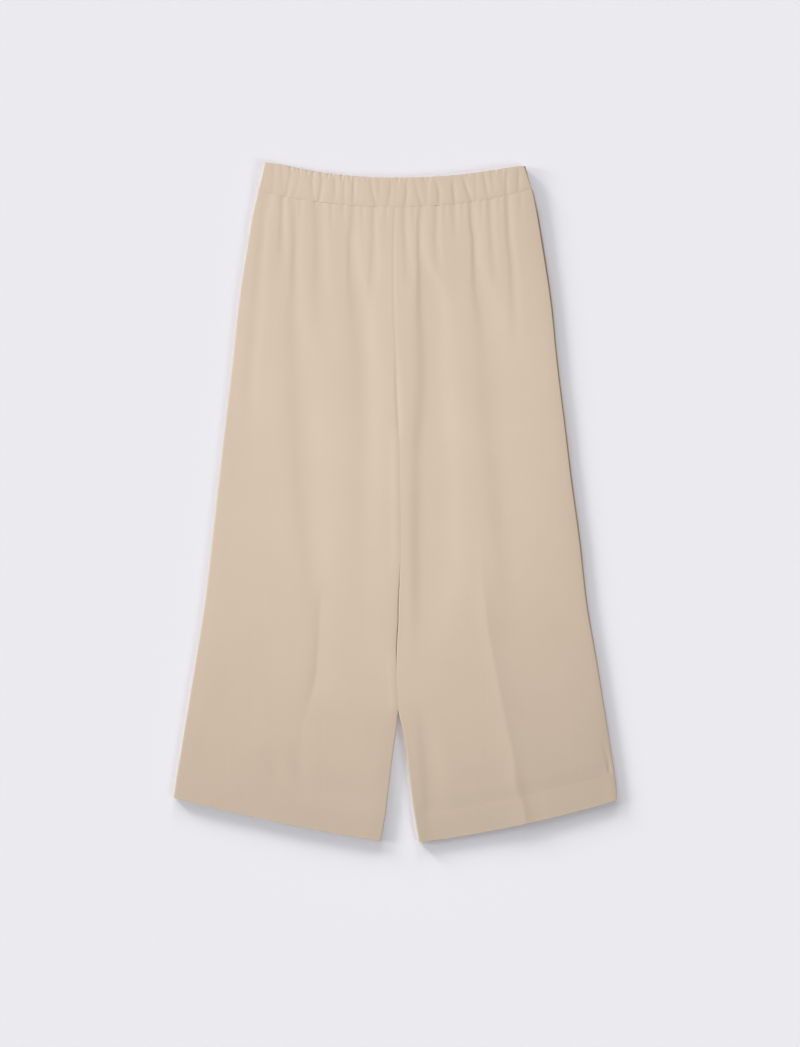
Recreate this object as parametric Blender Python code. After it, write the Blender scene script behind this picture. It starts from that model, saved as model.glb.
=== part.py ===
"""Wide, cropped culottes with an elasticated waistband, laid flat with the front up.

Metres, +Z up. The garment lies on the plane z = 0, its waist towards +Y and its hems towards -Y, and
its left leg, as the wearer has it, is on the +X side. The origin is on that plane, in the middle of the
garment's box. Heights along the garment are given as drops: how far a point is below the waist's corners.

Each piece that is cut and sewn is one solid: two fronts, two backs, and the waistband's front and back.
The fronts lie on the backs. A leg is made of rows that run across it from its side seam to its inner edge:
each row gives the panel's outer face, and its inner face is set off from that by the cloth's thickness.
"""

import math
from typing import NamedTuple

import bmesh
import bpy
from mathutils import Vector

MM = 0.001

# Sizes of the cloth and of the make.
CLOTH = 1.0 * MM  # one layer of crepe
HEM_CLOTH = 2.0 * MM  # two layers, where the hem is turned up
HEM_DEPTH = 33.0 * MM
SEAM_GAP = 0.3 * MM  # between two pieces that are sewn together
SEAM_LIP = 0.5 * MM  # straight strip of each wall beside a side seam or an inside leg seam
LENGTH = 814.8 * MM  # waist's corners to the lowest point of the hems
CROTCH_DROP = 320.0 * MM

# The waistband: a strip folded over a wide elastic, and gathered by it.
BAND_THICKNESS = 3.4 * MM
BAND_TOP_HALF = 156.0 * MM  # half the width at its top edge
BAND_SEAM_HALF = 164.0 * MM  # half the width at the seam with the legs
BAND_SEAM_DROP = 33.5 * MM  # of the lower seam, at the sides
BAND_SEAM_DIP = 20.0 * MM  # how far that seam sags in the middle
BAND_HEIGHT_ABOVE_FLOOR = 7.4 * MM
BAND_SLACK = 0.15 * MM  # half the least space between the band's front and its back

# How high the outer face of the fronts lies above the floor.
LEG_LEVEL = 3.7 * MM
WAIST_LEVEL = 5.9 * MM  # beside the band
WAIST_REACH = 100.0 * MM  # over which the waist's height falls away
HEM_LEVEL = 4.7 * MM
HEM_REACH = 62.0 * MM  # over which the front rises to the hem's level, above the turned-up part
EDGE_LEVEL = 5.0 * MM  # along the rounded edges, where the seam allowances fill them out
EDGE_BLEND = 18.0 * MM  # from a rounded edge to the level of the middle
LEAST_LEVEL = 2.6 * MM  # a front can't sink further, because the back lies under it
SIDE_ROUND = 3.2 * MM  # width of the rounding along the side seams
INSIDE_ROUND_TOP = 1.6 * MM  # and along the inside legs, at the crotch and at the hem
INSIDE_ROUND_HEM = 2.6 * MM
CENTRE_SEAM_DEPTH = 0.7 * MM
CENTRE_SEAM_WIDTH = 3.0 * MM

# How finely each face is divided. The rows' drops, in millimetres, are those of their inner ends.
ROUND_STEPS = 4
FRONT_COLUMNS = 34
BACK_COLUMNS = 6
BAND_COLUMNS = 112
BAND_BACK_COLUMNS = 16
FRONT_ROWS = (
    *(59, 67, 78, 93, 112, 138, 170, 208, 250, 290, 308, 320, 332, 375, 430, 485, 524, 572, 617),
    *(640, 653, 668, 684, 707, 743, 778, 781, 798, 814),
)
BACK_ROWS = (
    *(110, 180, 250, 308, 320, 332, 430, 485, 524, 572, 617, 640, 653, 668, 684, 707, 743),
    *(778, 781, 814),
)


class Edge(NamedTuple):
    """A point of the waistband's top edge."""

    x: float
    drop: float


# Millimetres. The edge sags in the middle, and its left corner hangs a little lower than its right one.
TOP_EDGE = [
    Edge(x * MM, drop * MM)
    for x, drop in (
        (-156, 0.2),
        (-150, 0.4),
        (-140, 1.6),
        (-125, 4.7),
        (-110, 8.2),
        (-95, 11.0),
        (-65, 14.8),
        (-35, 17.2),
        (5, 18.1),
        (40, 17.2),
        (70, 15.2),
        (100, 11.5),
        (130, 6.9),
        (145, 4.4),
        (156, 3.4),
    )
]


class Edges(NamedTuple):
    """Where a pair of edges lies at one drop: X of the right leg's edge and of the left leg's."""

    drop: float
    right: float
    left: float


def edge_table(*rows):
    return [Edges(*(value * MM for value in row)) for row in rows]


# The side seams, from the waistband's seam to the hem. Millimetres: drop, right leg, left leg.
SIDE_SEAMS = edge_table(
    (0, -157, 156),
    (34, -164, 164),
    (60, -169.7, 169.8),
    (95, -175.7, 175.6),
    (167, -186.5, 186.7),
    (239, -194.2, 194.2),
    (311, -202.7, 203.1),
    (383, -211.0, 211.6),
    (455, -218.9, 221.2),
    (527, -227.5, 229.3),
    (599, -238.5, 241.6),
    (671, -250.3, 253.6),
    (743, -262.3, 264.4),
    (765, -265.5, 266),
)

# The centre front seam down to the crotch, and the legs' inner edges below it. They touch down to mid leg,
# stand a little apart over a narrow slit, touch again, and part towards the hems.
INNER_EDGES = edge_table(
    (30, -0.15, 0.15),
    (93, -2.15, -1.85),
    (164, -2.15, -1.85),
    (224, 0.15, 0.45),
    (284, 1.95, 2.25),
    (330, 4.15, 4.45),
    (430, 5.6, 6.0),
    (485, 5.6, 6.2),
    (524, 2.5, 4.1),
    (572, 0.0, 2.0),
    (617, 0.2, 1.0),
    (640, 2.6, 3.0),
    (653, 3.7, 4.2),
    (668, 3.0, 6.7),
    (684, 0.9, 10.0),
    (707, -2.6, 13.6),
    (743, -6.9, 17.8),
    (779, -11.2, 22.7),
    (815, -17.4, 28.9),
)


class Hem(NamedTuple):
    """A hem's drop at the side seam and at the inside leg, and how far it bows down between them."""

    side: float
    inner: float
    bow: float


HEMS = {
    "right": Hem(761.3 * MM, 813.3 * MM, 3.3 * MM),
    "left": Hem(764.5 * MM, LENGTH, 5.0 * MM),
}


class Fold(NamedTuple):
    """A soft trough in the fronts, or a ridge where the depth is negative.

    Its line is given by X where it starts, half way and where it ends. It widens as it runs down.
    """

    start: float
    end: float
    x_start: float
    x_middle: float
    x_end: float
    depth: float
    width: float


def fold_table(*rows):
    return [Fold(*(value * MM for value in row)) for row in rows]


# Millimetres: start and end drop, X at the start, half way and at the end, depth, half width.
# The folds that start at drop 0 run down from the band's gathers.
FOLDS = fold_table(
    (0, 118, -149, -150, -152, 1.1, 4.0),
    (0, 130, -133, -136, -140, 1.5, 4.0),
    (0, 545, -124, -124.5, -95, 1.9, 5.0),
    (0, 190, -95, -98, -103, 1.3, 4.5),
    (0, 320, -65, -52, -42, 2.0, 5.0),
    (0, 125, -24, -27, -34, 1.7, 4.0),
    (0, 170, 9, 9, 8, 1.0, 4.0),
    (0, 285, 31, 27, 38, 2.2, 4.5),
    (0, 125, 48.5, 48, 45, 1.6, 4.0),
    (0, 90, 69, 69.5, 70, 1.1, 3.5),
    (0, 530, 89, 102, 119, 2.1, 5.0),
    (0, 115, 112, 116, 118, 1.3, 4.0),
    (0, 190, 131, 138, 148, 1.7, 4.5),
    (270, 580, 21, 19, 22, 1.1, 7.0),
    (520, 690, -94, -100, -111, 0.8, 4.0),
    (500, 800, 108, 133, 156, -0.9, 9.0),
    (668, 785, 27, 34, 41, 0.8, 6.0),
    (690, 770, 158, 162, 165, 0.6, 8.0),
    (660, 750, -160, -141, -122, 0.5, 12.0),
)


class Gather(NamedTuple):
    """A crease in the waistband's face, by X at the top edge and at the lower seam."""

    x_top: float
    x_seam: float
    depth: float
    width: float


def gather_table(*rows):
    return [Gather(*(value * MM for value in row)) for row in rows]


# Millimetres: X at the top edge and at the seam, depth, half width.
GATHERS = gather_table(
    (-147.5, -149, 1.0, 3.2),
    (-136, -132.5, 1.3, 2.6),
    (-122, -126, 1.1, 2.6),
    (-108, -113, 0.8, 3.0),
    (-100, -97.5, 1.2, 3.0),
    (-87, -93, 1.4, 2.6),
    (-68, -76, 1.1, 3.0),
    (-60, -62, 1.2, 2.6),
    (-51.5, -53, 1.4, 2.6),
    (-40, -39, 0.8, 2.8),
    (-29, -24.5, 1.2, 2.6),
    (-17.5, -19.5, 1.2, 2.6),
    (-6, -10.5, 0.8, 2.8),
    (12.5, 9, 1.1, 2.8),
    (23.5, 31, 1.4, 3.0),
    (38, 36, 1.0, 2.6),
    (48.5, 49, 1.2, 3.0),
    (63.5, 69, 1.4, 2.8),
    (82, 88.5, 1.5, 2.8),
    (95, 96, 1.0, 2.4),
    (104.5, 111.5, 1.3, 2.8),
    (116, 117.5, 1.0, 2.6),
    (135, 131, 1.4, 2.8),
    (149, 143, 1.3, 3.0),
)

CREPE_COLOUR = (0.68, 0.56, 0.43, 1.0)
BAND_COLOUR = (0.66, 0.54, 0.42, 1.0)


def smooth(t):
    """0 below 0, 1 above 1, and an even curve between them."""
    t = min(max(t, 0.0), 1.0)
    return t * t * (3 - 2 * t)


def mix(a, b, t):
    return a + (b - a) * t


def curve(places, values, at):
    """Read a curve through all the values, each at its own place."""
    last = len(places) - 1
    after = next((i for i in range(1, last) if places[i] >= at), last)
    before = after - 1
    span = places[after] - places[before]
    t = min(max((at - places[before]) / span, 0.0), 1.0)

    def slope(i):
        low, high = max(i - 1, 0), min(i + 1, last)
        return (values[high] - values[low]) / (places[high] - places[low]) * span

    return (
        (2 * t**3 - 3 * t**2 + 1) * values[before]
        + (t**3 - 2 * t**2 + t) * slope(before)
        + (3 * t**2 - 2 * t**3) * values[after]
        + (t**3 - t**2) * slope(after)
    )


def edge_x(table, drop, leg):
    """X of one leg's edge at a drop."""
    return curve([row.drop for row in table], [getattr(row, leg) for row in table], drop)


def band_top_drop(x):
    return curve([point.x for point in TOP_EDGE], [point.drop for point in TOP_EDGE], x)


def band_seam_drop(x):
    return BAND_SEAM_DROP + BAND_SEAM_DIP * (1 - (x / BAND_SEAM_HALF) ** 2)


def hem_drop(leg, across):
    """Drop of a leg's hem, across from the side seam (0) to the inside leg (1)."""
    hem = HEMS[leg]
    return mix(hem.side, hem.inner, across) + 4 * hem.bow * across * (1 - across)


def place(x, drop, height):
    """The point at this X, drop and height above the floor, in the part's frame."""
    return Vector((x, LENGTH / 2 - drop, height))


def trough(offset, width):
    """The shape of a trough across its line: 1 on the line and 0 away from it."""
    return math.exp(-((offset / width) ** 2))


def fold_depth(x, drop):
    """How deep all the folds together cut into the fronts here."""
    depth = 0.0
    for fold in FOLDS:
        along = (drop - fold.start) / (fold.end - fold.start)
        if not 0 < along < 1:
            continue
        bend = fold.x_start + fold.x_end - 2 * fold.x_middle
        line = fold.x_start + (fold.x_end - fold.x_start - 2 * bend * (1 - along)) * along
        rise = 1.0 if fold.start == 0 else smooth(along / 0.3)
        fade = smooth((1 - along) / 0.6)
        depth += fold.depth * rise * fade * trough(x - line, fold.width * (1 + 0.7 * along))
    return depth


def front_level(x, drop, hem):
    """Height of the fronts' outer face above the floor, away from its rounded edges."""
    below_band = max(drop - band_seam_drop(x), 0.0)
    above_hem = max(hem - drop, 0.0)
    level = LEG_LEVEL
    level += (WAIST_LEVEL - LEG_LEVEL) * math.exp(-below_band / WAIST_REACH)
    level += (HEM_LEVEL - LEG_LEVEL) * smooth((HEM_REACH - above_hem) / (HEM_REACH - HEM_DEPTH))
    return max(level - fold_depth(x, drop), LEAST_LEVEL)


def edge_level(drop):
    """Height of the fronts beside their rounded edges."""
    below_band = max(drop - BAND_SEAM_DROP, 0.0)
    return EDGE_LEVEL + (WAIST_LEVEL - EDGE_LEVEL) * math.exp(-below_band / WAIST_REACH)


def inside_level(drop):
    """Height of the fronts beside the rounded inside leg edges, a little below that at the side seams."""
    return edge_level(drop) - 0.5 * MM


class RowEnd(NamedTuple):
    """One end of a row across a leg: where it is, how wide its rounding is and how much of it there is."""

    x: float
    drop: float
    width: float
    turn: float  # 0 where the cloth runs flat into the seam, 1 where it turns right over


def rounding(end, inwards, base, rise, lip, flat_height):
    """Points from a row's end at the seam round to the flat of the cloth, as (x, height).

    inwards is +1 or -1, the way in X from the end into the leg. base is the seam's height, and rise goes
    up to the flat on a front and down to it on a back. flat_height gives the height at X where the cloth
    runs flat into its seam.
    """
    points = []
    for step in range(ROUND_STEPS + 2):
        flat_x = end.x + inwards * end.width * step / (ROUND_STEPS + 1)
        angle = math.pi / 2 * max(step - 1, 0) / ROUND_STEPS
        round_x = end.x + inwards * end.width * (1 - math.cos(angle))
        round_height = base + (lip if step else 0.0) + (rise - lip) * math.sin(angle)
        x = mix(flat_x, round_x, end.turn)
        points.append((x, mix(flat_height(flat_x), round_height, end.turn)))
    return points


class Row:
    """A row across a leg, along from the band's seam (0) to the hem (1), from its side to its inner edge."""

    def __init__(self, leg, along):
        self.leg, self.along = leg, along
        self.inwards = 1 if leg == "right" else -1
        side_drop = mix(band_seam_drop(BAND_SEAM_HALF) + SEAM_GAP, hem_drop(leg, 0), along)
        inner_drop = mix(band_seam_drop(0) + SEAM_GAP, hem_drop(leg, 1), along)
        turn = smooth((inner_drop - CROTCH_DROP) / (20 * MM) + 0.5)
        spread = smooth((inner_drop - 480 * MM) / (LENGTH - 480 * MM))
        inner_width = mix(INSIDE_ROUND_TOP, INSIDE_ROUND_HEM, spread)
        self.side = RowEnd(edge_x(SIDE_SEAMS, side_drop, leg), side_drop, SIDE_ROUND, 1.0)
        self.inner = RowEnd(edge_x(INNER_EDGES, inner_drop, leg), inner_drop, inner_width, turn)

    def across(self, x):
        return (x - self.side.x) / (self.inner.x - self.side.x)

    def drop(self, x):
        """Drop of the row at X: the top row follows the band's seam, and the last one the hem."""
        top_x = BAND_SEAM_HALF * self.inwards * (1 - self.across(x))
        return mix(band_seam_drop(top_x) + SEAM_GAP, hem_drop(self.leg, self.across(x)), self.along)

    def points(self, columns, side_shape, inner_shape, height):
        """All points of a panel's row. height gives the height at X, between the two roundings."""
        start = rounding(self.side, self.inwards, *side_shape, height)
        end = rounding(self.inner, -self.inwards, *inner_shape, height)[::-1]
        inside = [mix(start[-1][0], end[0][0], column / columns) for column in range(1, columns)]
        middle = [(x, height(x)) for x in inside]
        return [place(x, self.drop(x), level) for x, level in [*start, *middle, *end]]


def front_row(leg, along):
    """Outer face of a front panel."""
    row = Row(leg, along)
    side_height, inner_height = edge_level(row.side.drop), inside_level(row.inner.drop)

    def height(x):
        level = front_level(x, row.drop(x), hem_drop(leg, row.across(x)))
        level -= CENTRE_SEAM_DEPTH * (1 - row.inner.turn) * trough(x - row.inner.x, CENTRE_SEAM_WIDTH)
        from_side = abs(x - row.side.x) - row.side.width
        from_inner = abs(x - row.inner.x) - row.inner.width
        level = mix(side_height, level, smooth(from_side / EDGE_BLEND))
        return mix(level, inner_height, (1 - smooth(from_inner / EDGE_BLEND)) * row.inner.turn)

    side_base, inner_base = (side_height + SEAM_GAP) / 2, (inner_height + SEAM_GAP) / 2
    side_shape = (side_base, side_height - side_base, SEAM_LIP)
    inner_shape = (inner_base, inner_height - inner_base, SEAM_LIP)
    return row.points(FRONT_COLUMNS, side_shape, inner_shape, height)


def back_row(leg, along):
    """Outer face of a back panel. It is flat on the floor and turns up at its edges to meet the front."""
    row = Row(leg, along)
    side_base = (edge_level(row.side.drop) - SEAM_GAP) / 2
    inner_base = (inside_level(row.inner.drop) - SEAM_GAP) / 2
    side_shape = (side_base, -side_base, -SEAM_LIP)
    inner_shape = (inner_base, -inner_base, -SEAM_LIP)
    return row.points(BACK_COLUMNS, side_shape, inner_shape, lambda x: 0.0)


def wall(name, rows, hems, inwards, material):
    """A closed wall of cloth. rows give its outer face, and inwards is the way to its inner face.

    hems says for each row if it lies in the turned-up hem, where the cloth is double between the roundings.
    """
    sheet = bmesh.new()
    outer, inner = [], []
    for row, in_hem in zip(rows, hems):
        last = len(row) - 1
        outer.append([sheet.verts.new(point) for point in row])
        set_off = []
        for i, point in enumerate(row):
            along = Vector()
            for a, b in ((i - 1, i), (i, i + 1)):
                if a >= 0 and b <= last:
                    step = row[b] - row[a]
                    along += Vector((step.x, 0, step.z)).normalized()
            along.normalize()
            square = Vector((-along.z, 0, along.x)) * math.copysign(1, row[last].x - row[0].x) * inwards
            double = in_hem and ROUND_STEPS + 2 < i < last - ROUND_STEPS - 2
            set_off.append(sheet.verts.new(point + square * (HEM_CLOTH if double else CLOTH)))
        inner.append(set_off)
    for above, below in zip(range(len(rows) - 1), range(1, len(rows))):
        for i in range(len(rows[0]) - 1):
            for face in (outer, inner):
                sheet.faces.new((face[above][i], face[below][i], face[below][i + 1], face[above][i + 1]))
        for end in (0, -1):
            sheet.faces.new((outer[above][end], outer[below][end], inner[below][end], inner[above][end]))
    for end in (0, -1):
        for i in range(len(rows[0]) - 1):
            sheet.faces.new((outer[end][i], outer[end][i + 1], inner[end][i + 1], inner[end][i]))
    return add_solid(name, sheet, material)


def add_solid(name, shape, material):
    """Make an object of a closed bmesh, with its faces turned outwards."""
    bmesh.ops.recalc_face_normals(shape, faces=shape.faces)
    for face in shape.faces:
        face.smooth = True
    mesh = bpy.data.meshes.new(name)
    shape.to_mesh(mesh)
    shape.free()
    mesh.materials.append(material)
    solid = bpy.data.objects.new(name, mesh)
    bpy.context.scene.collection.objects.link(solid)
    return solid


def add_panel(name, leg, row_of, inner_drops, inwards, material):
    """A front or back panel from its rows. The first row is at the waistband's seam."""
    top, bottom = band_seam_drop(0) + SEAM_GAP, hem_drop(leg, 1)
    places = [(drop * MM - top) / (inner_drops[-1] * MM - top) for drop in inner_drops]
    rows = [row_of(leg, along) for along in [0.0, *places]]
    hems = [(1 - along) * (bottom - top) <= HEM_DEPTH + 1 * MM for along in [0.0, *places]]
    return wall(name, rows, hems, inwards, material)


def band_stations(columns):
    """Stations along half a flattened band: (across, height, angle) of its outer face.

    across runs from -1 to 1 over the band's width, less the rounding, and angle is the way the face looks,
    from 0 at the right side seam, over straight up at 90 degrees, to 180 at the left side seam.
    """
    quarter = [(-1.0, mix(0, math.pi / 2, step / ROUND_STEPS)) for step in range(ROUND_STEPS)]
    flat = [(mix(-1, 1, column / columns), math.pi / 2) for column in range(columns + 1)]
    other = [(1.0, math.pi - angle) for _, angle in reversed(quarter)]
    return [*quarter, *flat, *other]


# The band's section, from its lower edge up the outer face, over the fold at the top and down the inner face:
# height on the band (0 at its seam, 1 at its top), depth below the outer face, and how much gathers show.
BAND_SECTION = (
    (0.0, 0.25, 0.6),
    (0.07, 0.0, 1.0),
    (0.3, 0.0, 1.0),
    (0.55, 0.0, 0.9),
    (0.8, 0.02, 0.9),
    (0.94, 0.1, 0.8),
    (1.0, 0.38, 0.5),
    (1.0, 0.68, 0.2),
    (0.95, 1.0, 0.0),
    (0.0, 1.0, 0.0),
)


def gather_depth(across, height):
    """How deep the gathers cut into the band's face. height is 0 at the seam and 1 at the top edge."""
    x_on_face = across * mix(BAND_SEAM_HALF, BAND_TOP_HALF, height)
    depth = 0.0
    for gather in GATHERS:
        line = mix(gather.x_seam, gather.x_top, height)
        depth += gather.depth * trough(x_on_face - line, gather.width)
    return depth


def band_section(station, side_sign, gathered):
    """The ring of points of one section of the band, as (x, drop, height)."""
    across, angle = station
    middle_height = BAND_HEIGHT_ABOVE_FLOOR / 2
    outer_radius = middle_height
    points = []
    for up, inwards, gather_share in BAND_SECTION:
        radius = outer_radius - inwards * (BAND_THICKNESS - 2 * BAND_SLACK)
        if gathered:
            radius -= gather_share * gather_depth(across, up)
        half = mix(BAND_SEAM_HALF, BAND_TOP_HALF, up) - outer_radius
        x = across * half - radius * math.cos(angle)
        height = middle_height + side_sign * (radius * math.sin(angle) + BAND_SLACK)
        drop = mix(band_seam_drop(x), band_top_drop(x), up)
        points.append((x, drop, height))
    return [place(*point) for point in points]


def add_band(side, material):
    """Front or back of the waistband: sections set along its width, joined up and closed at the ends."""
    front = side == "front"
    band = bmesh.new()
    rings = []
    for station in band_stations(BAND_COLUMNS if front else BAND_BACK_COLUMNS):
        points = band_section(station, 1 if front else -1, front)
        rings.append([band.verts.new(point) for point in points])
    for ring, following in zip(rings, rings[1:]):
        for i in range(len(ring)):
            after = (i + 1) % len(ring)
            band.faces.new((ring[i], ring[after], following[after], following[i]))
    band.faces.new(rings[0])
    band.faces.new(reversed(rings[-1]))
    return add_solid(f"waistband_{side}", band, material)


def add_material(name, colour):
    material = bpy.data.materials.new(name)
    material.use_nodes = True
    shader = material.node_tree.nodes["Principled BSDF"]
    shader.inputs["Base Color"].default_value = colour
    shader.inputs["Roughness"].default_value = 0.85
    shader.inputs["Metallic"].default_value = 0.0
    return material


def main():
    for obj in list(bpy.data.objects):
        bpy.data.objects.remove(obj)
    crepe = add_material("crepe", CREPE_COLOUR)
    band_crepe = add_material("band_crepe", BAND_COLOUR)
    for leg in ("right", "left"):
        add_panel(f"front_{leg}", leg, front_row, FRONT_ROWS, -1, crepe)
        add_panel(f"back_{leg}", leg, back_row, BACK_ROWS, 1, crepe)
    for side in ("front", "back"):
        add_band(side, band_crepe)


main()
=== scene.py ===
import math
from functools import partial
from typing import NamedTuple

import bmesh
import bpy
import numpy as np
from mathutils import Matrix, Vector


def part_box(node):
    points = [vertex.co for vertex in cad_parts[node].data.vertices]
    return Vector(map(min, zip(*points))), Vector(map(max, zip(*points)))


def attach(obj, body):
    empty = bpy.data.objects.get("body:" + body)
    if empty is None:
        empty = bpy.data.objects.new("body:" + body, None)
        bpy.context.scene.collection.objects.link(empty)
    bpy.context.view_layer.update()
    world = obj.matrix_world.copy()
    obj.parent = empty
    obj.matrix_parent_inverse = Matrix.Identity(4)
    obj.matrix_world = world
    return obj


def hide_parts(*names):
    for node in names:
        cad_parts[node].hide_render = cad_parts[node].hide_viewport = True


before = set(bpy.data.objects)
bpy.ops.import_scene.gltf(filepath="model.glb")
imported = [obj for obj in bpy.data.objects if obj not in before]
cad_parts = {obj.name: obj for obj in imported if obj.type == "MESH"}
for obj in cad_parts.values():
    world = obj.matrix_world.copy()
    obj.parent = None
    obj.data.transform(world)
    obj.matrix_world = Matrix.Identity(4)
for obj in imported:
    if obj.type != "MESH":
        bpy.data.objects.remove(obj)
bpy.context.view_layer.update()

# The garment lies on z = 0 with its waist towards +Y and the wearer's left towards +X. Places on it are
# given by X and by their drop, which is how far they are below the waist's corners.


# ------------------------------------------------------------------------------------ leg fronts
# The two front panels: polyester crepe, gathered into the waistband, sewn to each other down the
# centre seam and to the backs along the side and inside leg seams, with a deep turned-up hem.

MM = 0.001
WAIST_Y = -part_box("front_left")[0].y  # Y of drop 0: the garment's box is centred on the origin
BAND_SEAM_HALF = 164 * MM  # half the length of the band's seam
BAND_SEAM_DROP = 33.5 * MM  # at the side seams
BAND_SEAM_DIP = 20 * MM  # how much lower it hangs in the middle
TUCK = 1.0 * MM  # how far the panels run up under the band's edge
CLOTH = 0.9 * MM  # thickness of the crepe's wall
LEGS = {"right": 1, "left": 2}  # a leg's column in the tables of edges

# Millimetres: drop, X of the right leg's edge, X of the left leg's edge.
SIDE_SEAMS = (
    (0, -157, 156),
    (34, -164.2, 165.4),
    (60, -170.0, 171.3),
    (95, -176.1, 177.3),
    (167, -187.0, 188.3),
    (239, -194.7, 195.7),
    (311, -203.2, 204.5),
    (383, -211.5, 213.1),
    (455, -219.4, 222.6),
    (527, -228.0, 230.4),
    (599, -239.2, 242.4),
    (671, -251.1, 253.8),
    (743, -263.0, 264.6),
    (765, -266.2, 266.3),
)
# The centre seam down to the crotch, then the legs' inner edges. They touch, part over a narrow slit,
# touch once more and spread to the hems.
INNER_EDGES = (
    (30, 0, 0),
    (93, -2, -2),
    (164, -2, -2),
    (224, 0.3, 0.3),
    (284, 2.1, 2.1),
    (330, 4.3, 4.3),
    (430, 5.9, 5.9),
    (485, 6.0, 6.0),
    (513, 4.3, 4.7),
    (531, 3.4, 3.9),
    (549, 3.25, 3.8),
    (573, 1.75, 2.35),
    (603, 1.1, 1.3),
    (618, 1.2, 1.2),
    (632, 2.0, 2.0),
    (645, 2.9, 2.9),
    (656, 3.3, 3.5),
    (668, 2.6, 6.0),
    (684, 0.9, 10.0),
    (707, -2.6, 13.6),
    (743, -6.9, 17.8),
    (779, -11.2, 22.7),
    (815, -17.4, 28.9),
)
# Drops in millimetres, and how far the inner edges turn over there: not at all where the cloth runs on
# flat.
EDGE_TURNS = ((480, 0), (500, 1), (578, 1), (600, 0.1), (655, 0.1), (668, 1))


class Hem(NamedTuple):
    """A hem's drop at the side seam and at the inside leg, and how far it bows down between them."""

    side: float
    inner: float
    bow: float


HEMS = {
    "right": Hem(761.3 * MM, 813.3 * MM, 3.3 * MM),
    "left": Hem(764.5 * MM, 814.8 * MM, 5.0 * MM),
}
HEM_DEPTH = 33 * MM
HEM_ROLL = 0.15 * MM  # radius of the fold along the hem's edge


def smooth(t):
    """0 below 0, 1 above 1, and an even curve between them."""
    t = np.clip(t, 0.0, 1.0)
    return t * t * (3 - 2 * t)


def mix(a, b, t):
    return a + (b - a) * t


def step(offset, width):
    """From 0 to 1 across a place, most of the way within the width on each side of it."""
    return 0.5 + 0.5 * np.tanh(offset / width)


def curve(rows, column, at):
    """Read one column of a table in millimetres as a smooth curve, at places along its first column."""
    table = np.array(rows) * MM
    places, values = table[:, 0], table[:, column]
    last = len(places) - 1
    after = np.clip(np.searchsorted(places, at), 1, last)
    before = after - 1
    span = places[after] - places[before]
    t = np.clip((at - places[before]) / span, 0.0, 1.0)

    def slope(i):
        low, high = np.maximum(i - 1, 0), np.minimum(i + 1, last)
        return (values[high] - values[low]) / (places[high] - places[low]) * span

    return (
        (2 * t**3 - 3 * t**2 + 1) * values[before]
        + (t**3 - 2 * t**2 + t) * slope(before)
        + (3 * t**2 - 2 * t**3) * values[after]
        + (t**3 - t**2) * slope(after)
    )


def band_seam_drop(x):
    return BAND_SEAM_DROP + BAND_SEAM_DIP * (1 - (x / BAND_SEAM_HALF) ** 2)


def hem_drop(leg, across):
    """Drop of a hem, across from the side seam (0) to the inside leg (1)."""
    hem = HEMS[leg]
    return mix(hem.side, hem.inner, across) + 4 * hem.bow * across * (1 - across)


class Fold(NamedTuple):
    """A trough that runs down the cloth. Towards +X it has a wall that falls, then a wall that rises.

    A wall's half width is given near the band and further down, where the cloth has relaxed. Each station
    gives a drop, X of the falling wall, X of the rising wall, and the depth. All are in millimetres.
    """

    falling_wall: tuple
    rising_wall: tuple
    stations: tuple


RELAX_FROM = 100 * MM  # the drop where the folds begin to widen
RELAX_OVER = 170 * MM

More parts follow.
